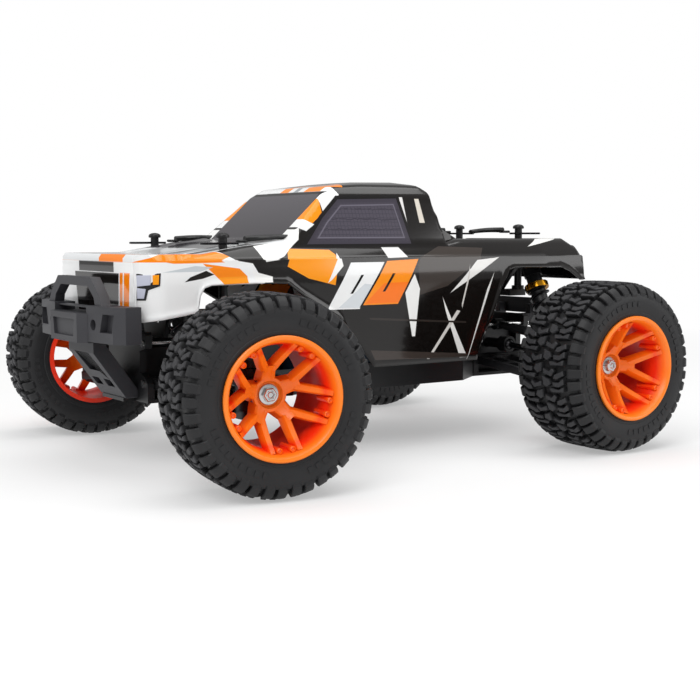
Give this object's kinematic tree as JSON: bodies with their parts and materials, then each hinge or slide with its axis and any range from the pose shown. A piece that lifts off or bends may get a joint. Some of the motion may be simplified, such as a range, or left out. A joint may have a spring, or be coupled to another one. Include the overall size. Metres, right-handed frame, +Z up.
{
  "type": "rc monster truck",
  "caption": "Radio-controlled four-wheel-drive monster truck: sprung arms and shocks, steering linkage, drive gears, big tyres, bumper and a thin painted pickup shell.",
  "frame": {"origin": "on the ground under the middle of the whole truck", "axes": "+Z up, the truck faces -Y, its left side is +X"},
  "size_m": [0.3816, 0.4226, 0.1995],
  "materials": {
    "tyre_rubber": "matt rubber",
    "rim_orange": "satin moulded nylon",
    "steel": "satin",
    "suspension_plastic": "moulded, lightly grained",
    "bumper_plastic": "moulded, fine grain",
    "shock_body": "gloss black with a gold collar",
    "shock_steel": "polished shaft",
    "spring_steel": "powder coated wire",
    "shell_paint": "clear polycarbonate painted inside",
    "drive_metal": "satin",
    "motor_can": "satin",
    "battery_wrap": "shrink wrap",
    "electronics_case": "moulded",
    "gear_plastic": "moulded",
    "clip_wire": "polished wire"
  },
  "bodies": {
    "chassis": {"chassis_tub": "suspension_plastic", "gearbox_housings": "suspension_plastic", "hinge_pins": "steel", "steering_servo": "electronics_case", "motor": "motor_can", "battery_pack": "battery_wrap", "speed_controller": "electronics_case", "shock_towers": "suspension_plastic", "body_posts": "suspension_plastic", "body_clips": "clip_wire", "front_bumper": "bumper_plastic", "front_brace": "bumper_plastic", "rear_bumper": "bumper_plastic", "body_shell": "shell_paint", "shock_springs": "spring_steel"},
    "front_left_lower_arm": {"front_left_lower_arm": "suspension_plastic"},
    "front_left_caster_block": {"front_left_caster_block": "suspension_plastic"},
    "front_left_upper_arm": {"front_left_upper_arm": "suspension_plastic"},
    "front_left_shock_body": {"front_left_shock_body": "shock_body"},
    "front_left_shock_shaft": {"front_left_shock_shaft": "shock_steel"},
    "front_left_halfshaft": {"front_left_halfshaft": "drive_metal"},
    "front_left_wheel": {"front_left_tyre": "tyre_rubber", "front_left_rim": "rim_orange", "front_left_axle": "steel"},
    "front_left_knuckle": {"front_left_knuckle": "suspension_plastic"},
    "front_right_lower_arm": {"front_right_lower_arm": "suspension_plastic"},
    "front_right_caster_block": {"front_right_caster_block": "suspension_plastic"},
    "front_right_upper_arm": {"front_right_upper_arm": "suspension_plastic"},
    "front_right_shock_body": {"front_right_shock_body": "shock_body"},
    "front_right_shock_shaft": {"front_right_shock_shaft": "shock_steel"},
    "front_right_halfshaft": {"front_right_halfshaft": "drive_metal"},
    "front_right_wheel": {"front_right_tyre": "tyre_rubber", "front_right_rim": "rim_orange", "front_right_axle": "steel"},
    "front_right_knuckle": {"front_right_knuckle": "suspension_plastic"},
    "rear_left_lower_arm": {"rear_left_lower_arm": "suspension_plastic"},
    "rear_left_upright": {"rear_left_upright": "suspension_plastic"},
    "rear_left_upper_link": {"rear_left_upper_link": "suspension_plastic"},
    "rear_left_shock_body": {"rear_left_shock_body": "shock_body"},
    "rear_left_shock_shaft": {"rear_left_shock_shaft": "shock_steel"},
    "rear_left_halfshaft": {"rear_left_halfshaft": "drive_metal"},
    "rear_left_wheel": {"rear_left_tyre": "tyre_rubber", "rear_left_rim": "rim_orange", "rear_left_axle": "steel"},
    "rear_right_lower_arm": {"rear_right_lower_arm": "suspension_plastic"},
    "rear_right_upright": {"rear_right_upright": "suspension_plastic"},
    "rear_right_upper_link": {"rear_right_upper_link": "suspension_plastic"},
    "rear_right_shock_body": {"rear_right_shock_body": "shock_body"},
    "rear_right_shock_shaft": {"rear_right_shock_shaft": "shock_steel"},
    "rear_right_halfshaft": {"rear_right_halfshaft": "drive_metal"},
    "rear_right_wheel": {"rear_right_tyre": "tyre_rubber", "rear_right_rim": "rim_orange", "rear_right_axle": "steel"},
    "servo_horn": {"servo_horn": "suspension_plastic"},
    "idler_crank": {"idler_crank": "suspension_plastic"},
    "steering_plate": {"steering_plate": "suspension_plastic"},
    "left_tie_rod": {"left_tie_rod": "suspension_plastic"},
    "right_tie_rod": {"right_tie_rod": "suspension_plastic"},
    "centre_shaft": {"centre_shaft": "gear_plastic"},
    "motor_pinion": {"motor_pinion": "drive_metal"}
  },
  "joints": [
    {"name": "front_left_lower_arm_swing", "type": "hinge", "parent": "chassis", "child": "front_left_lower_arm", "pos_m": [0.032, -0.13715, 0.0585], "axis": [0, -1, 0], "range_deg": [-10, 16], "stiffness_Nm_per_rad": 2.7, "springref_deg": -5.73, "deforming": ["shock_springs"]},
    {"name": "front_left_caster_block_hinge", "type": "hinge", "parent": "front_left_lower_arm", "child": "front_left_caster_block", "pos_m": [0.112, -0.13715, 0.0505], "axis": [0, -1, 0], "range_deg": [-16, 10]},
    {"name": "front_left_upper_arm_swing", "type": "hinge", "parent": "chassis", "child": "front_left_upper_arm", "pos_m": [0.032, -0.13715, 0.086], "axis": [0, -1, 0], "range_deg": [-10, 16]},
    {"name": "front_left_halfshaft_swing", "type": "hinge", "parent": "chassis", "child": "front_left_halfshaft", "pos_m": [0.045, -0.13715, 0.0705], "axis": [0, -1, 0], "range_deg": [-10, 16]},
    {"name": "front_left_shock_swing", "type": "hinge", "parent": "chassis", "child": "front_left_shock_body", "pos_m": [0.046, -0.15415, 0.13], "axis": [0, -1, 0], "range_deg": [-2.99, 4.78]},
    {"name": "front_left_shock_slide", "type": "slide", "parent": "front_left_shock_body", "child": "front_left_shock_shaft", "axis": [-0.5069, 0, 0.862], "range_m": [-0.00864, 0.01381]},
    {"name": "front_left_knuckle_steer", "type": "hinge", "parent": "front_left_caster_block", "child": "front_left_knuckle", "pos_m": [0.125, -0.13715, 0.0625], "axis": [0, 0, 1], "range_deg": [-14, 33]},
    {"name": "front_left_wheel_spin", "type": "hinge", "parent": "front_left_knuckle", "child": "front_left_wheel", "pos_m": [0.125, -0.13715, 0.0625], "axis": [0.9863, -0.165, 0], "continuous": true},
    {"name": "front_right_lower_arm_swing", "type": "hinge", "parent": "chassis", "child": "front_right_lower_arm", "pos_m": [-0.032, -0.13715, 0.0585], "axis": [0, 1, 0], "range_deg": [-10, 16], "stiffness_Nm_per_rad": 2.7, "springref_deg": -5.73, "deforming": ["shock_springs"]},
    {"name": "front_right_caster_block_hinge", "type": "hinge", "parent": "front_right_lower_arm", "child": "front_right_caster_block", "pos_m": [-0.112, -0.13715, 0.0505], "axis": [0, 1, 0], "range_deg": [-16, 10]},
    {"name": "front_right_upper_arm_swing", "type": "hinge", "parent": "chassis", "child": "front_right_upper_arm", "pos_m": [-0.032, -0.13715, 0.086], "axis": [0, 1, 0], "range_deg": [-10, 16]},
    {"name": "front_right_halfshaft_swing", "type": "hinge", "parent": "chassis", "child": "front_right_halfshaft", "pos_m": [-0.045, -0.13715, 0.0705], "axis": [0, 1, 0], "range_deg": [-10, 16]},
    {"name": "front_right_shock_swing", "type": "hinge", "parent": "chassis", "child": "front_right_shock_body", "pos_m": [-0.046, -0.15415, 0.13], "axis": [0, 1, 0], "range_deg": [-2.99, 4.78]},
    {"name": "front_right_shock_slide", "type": "slide", "parent": "front_right_shock_body", "child": "front_right_shock_shaft", "axis": [0.5069, 0, 0.862], "range_m": [-0.00864, 0.01381]},
    {"name": "front_right_knuckle_steer", "type": "hinge", "parent": "front_right_caster_block", "child": "front_right_knuckle", "pos_m": [-0.125, -0.13715, 0.0625], "axis": [0, 0, 1], "range_deg": [-14, 33]},
    {"name": "front_right_wheel_spin", "type": "hinge", "parent": "front_right_knuckle", "child": "front_right_wheel", "pos_m": [-0.125, -0.13715, 0.0625], "axis": [0.9863, -0.165, 0], "continuous": true},
    {"name": "rear_left_lower_arm_swing", "type": "hinge", "parent": "chassis", "child": "rear_left_lower_arm", "pos_m": [0.032, 0.14885, 0.0585], "axis": [0, -1, 0], "range_deg": [-10, 16], "stiffness_Nm_per_rad": 2.7, "springref_deg": -5.73, "deforming": ["shock_springs"]},
    {"name": "rear_left_upright_hinge", "type": "hinge", "parent": "rear_left_lower_arm", "child": "rear_left_upright", "pos_m": [0.112, 0.14885, 0.0505], "axis": [0, -1, 0], "range_deg": [-16, 10]},
    {"name": "rear_left_upper_link_swing", "type": "hinge", "parent": "chassis", "child": "rear_left_upper_link", "pos_m": [0.032, 0.14885, 0.086], "axis": [0, -1, 0], "range_deg": [-10, 16]},
    {"name": "rear_left_halfshaft_swing", "type": "hinge", "parent": "chassis", "child": "rear_left_halfshaft", "pos_m": [0.045, 0.14885, 0.0705], "axis": [0, -1, 0], "range_deg": [-10, 16]},
    {"name": "rear_left_shock_swing", "type": "hinge", "parent": "chassis", "child": "rear_left_shock_body", "pos_m": [0.049, 0.16585, 0.139], "axis": [0, -1, 0], "range_deg": [-2.22, 3.54]},
    {"name": "rear_left_shock_slide", "type": "slide", "parent": "rear_left_shock_body", "child": "rear_left_shock_shaft", "axis": [-0.434, 0, 0.9009], "range_m": [-0.00895, 0.01432]},
    {"name": "rear_left_wheel_spin", "type": "hinge", "parent": "rear_left_upright", "child": "rear_left_wheel", "pos_m": [0.125, 0.14885, 0.0625], "axis": [1, 0, 0], "continuous": true},
    {"name": "rear_right_lower_arm_swing", "type": "hinge", "parent": "chassis", "child": "rear_right_lower_arm", "pos_m": [-0.032, 0.14885, 0.0585], "axis": [0, 1, 0], "range_deg": [-10, 16], "stiffness_Nm_per_rad": 2.7, "springref_deg": -5.73, "deforming": ["shock_springs"]},
    {"name": "rear_right_upright_hinge", "type": "hinge", "parent": "rear_right_lower_arm", "child": "rear_right_upright", "pos_m": [-0.112, 0.14885, 0.0505], "axis": [0, 1, 0], "range_deg": [-16, 10]},
    {"name": "rear_right_upper_link_swing", "type": "hinge", "parent": "chassis", "child": "rear_right_upper_link", "pos_m": [-0.032, 0.14885, 0.086], "axis": [0, 1, 0], "range_deg": [-10, 16]},
    {"name": "rear_right_halfshaft_swing", "type": "hinge", "parent": "chassis", "child": "rear_right_halfshaft", "pos_m": [-0.045, 0.14885, 0.0705], "axis": [0, 1, 0], "range_deg": [-10, 16]},
    {"name": "rear_right_shock_swing", "type": "hinge", "parent": "chassis", "child": "rear_right_shock_body", "pos_m": [-0.049, 0.16585, 0.139], "axis": [0, 1, 0], "range_deg": [-2.22, 3.54]},
    {"name": "rear_right_shock_slide", "type": "slide", "parent": "rear_right_shock_body", "child": "rear_right_shock_shaft", "axis": [0.434, 0, 0.9009], "range_m": [-0.00895, 0.01432]},
    {"name": "rear_right_wheel_spin", "type": "hinge", "parent": "rear_right_upright", "child": "rear_right_wheel", "pos_m": [-0.125, 0.14885, 0.0625], "axis": [1, 0, 0], "continuous": true},
    {"name": "servo_horn_turn", "type": "hinge", "parent": "chassis", "child": "servo_horn", "pos_m": [0.024, -0.09115, 0.0925], "axis": [0, 0, 1], "range_deg": [-14, 33]},
    {"name": "idler_crank_turn", "type": "hinge", "parent": "chassis", "child": "idler_crank", "pos_m": [-0.024, -0.09115, 0.0925], "axis": [0, 0, 1], "range_deg": [-14, 33]},
    {"name": "steering_plate_turn", "type": "hinge", "parent": "servo_horn", "child": "steering_plate", "pos_m": [0.02813, -0.06649, 0.0945], "axis": [0, 0, 1], "range_deg": [-33, 14]},
    {"name": "left_tie_rod_swing", "type": "hinge", "parent": "steering_plate", "child": "left_tie_rod", "pos_m": [0.04913, -0.11249, 0.074], "axis": [0, -1, 0], "range_deg": [-10, 16]},
    {"name": "right_tie_rod_swing", "type": "hinge", "parent": "steering_plate", "child": "right_tie_rod", "pos_m": [-0.04087, -0.11249, 0.074], "axis": [0, 1, 0], "range_deg": [-10, 16]},
    {"name": "centre_shaft_spin", "type": "hinge", "parent": "chassis", "child": "centre_shaft", "pos_m": [0, 0.06785, 0.0705], "axis": [0, 1, 0], "continuous": true},
    {"name": "motor_pinion_spin", "type": "hinge", "parent": "chassis", "child": "motor_pinion", "pos_m": [-0.0256, 0.06785, 0.0705], "axis": [0, 1, 0], "continuous": true}
  ],
  "couplings": [
    {"joint": "front_left_caster_block_hinge", "follows": "front_left_lower_arm_swing", "ratio": -1},
    {"joint": "front_left_upper_arm_swing", "follows": "front_left_lower_arm_swing", "ratio": 1},
    {"joint": "front_left_halfshaft_swing", "follows": "front_left_lower_arm_swing", "ratio": 1},
    {"joint": "front_left_shock_swing", "follows": "front_left_lower_arm_swing", "ratio": 0.29811},
    {"joint": "front_left_shock_slide", "follows": "front_left_lower_arm_swing", "m_per_rad": 0.049428},
    {"joint": "front_right_caster_block_hinge", "follows": "front_right_lower_arm_swing", "ratio": -1},
    {"joint": "front_right_upper_arm_swing", "follows": "front_right_lower_arm_swing", "ratio": 1},
    {"joint": "front_right_halfshaft_swing", "follows": "front_right_lower_arm_swing", "ratio": 1},
    {"joint": "front_right_shock_swing", "follows": "front_right_lower_arm_swing", "ratio": 0.29811},
    {"joint": "front_right_shock_slide", "follows": "front_right_lower_arm_swing", "m_per_rad": 0.049428},
    {"joint": "front_right_knuckle_steer", "follows": "front_left_knuckle_steer", "ratio": 1},
    {"joint": "rear_left_upright_hinge", "follows": "rear_left_lower_arm_swing", "ratio": -1},
    {"joint": "rear_left_upper_link_swing", "follows": "rear_left_lower_arm_swing", "ratio": 1},
    {"joint": "rear_left_halfshaft_swing", "follows": "rear_left_lower_arm_swing", "ratio": 1},
    {"joint": "rear_left_shock_swing", "follows": "rear_left_lower_arm_swing", "ratio": 0.22058},
    {"joint": "rear_left_shock_slide", "follows": "rear_left_lower_arm_swing", "m_per_rad": 0.051229},
    {"joint": "rear_right_upright_hinge", "follows": "rear_right_lower_arm_swing", "ratio": -1},
    {"joint": "rear_right_upper_link_swing", "follows": "rear_right_lower_arm_swing", "ratio": 1},
    {"joint": "rear_right_halfshaft_swing", "follows": "rear_right_lower_arm_swing", "ratio": 1},
    {"joint": "rear_right_shock_swing", "follows": "rear_right_lower_arm_swing", "ratio": 0.22058},
    {"joint": "rear_right_shock_slide", "follows": "rear_right_lower_arm_swing", "m_per_rad": 0.051229},
    {"joint": "servo_horn_turn", "follows": "front_left_knuckle_steer", "ratio": 1},
    {"joint": "idler_crank_turn", "follows": "front_left_knuckle_steer", "ratio": 1},
    {"joint": "steering_plate_turn", "follows": "front_left_knuckle_steer", "ratio": -1},
    {"joint": "left_tie_rod_swing", "follows": "front_left_lower_arm_swing", "ratio": 1},
    {"joint": "right_tie_rod_swing", "follows": "front_right_lower_arm_swing", "ratio": 1},
    {"joint": "motor_pinion_spin", "follows": "centre_shaft_spin", "ratio": -3.5714}
  ]
}
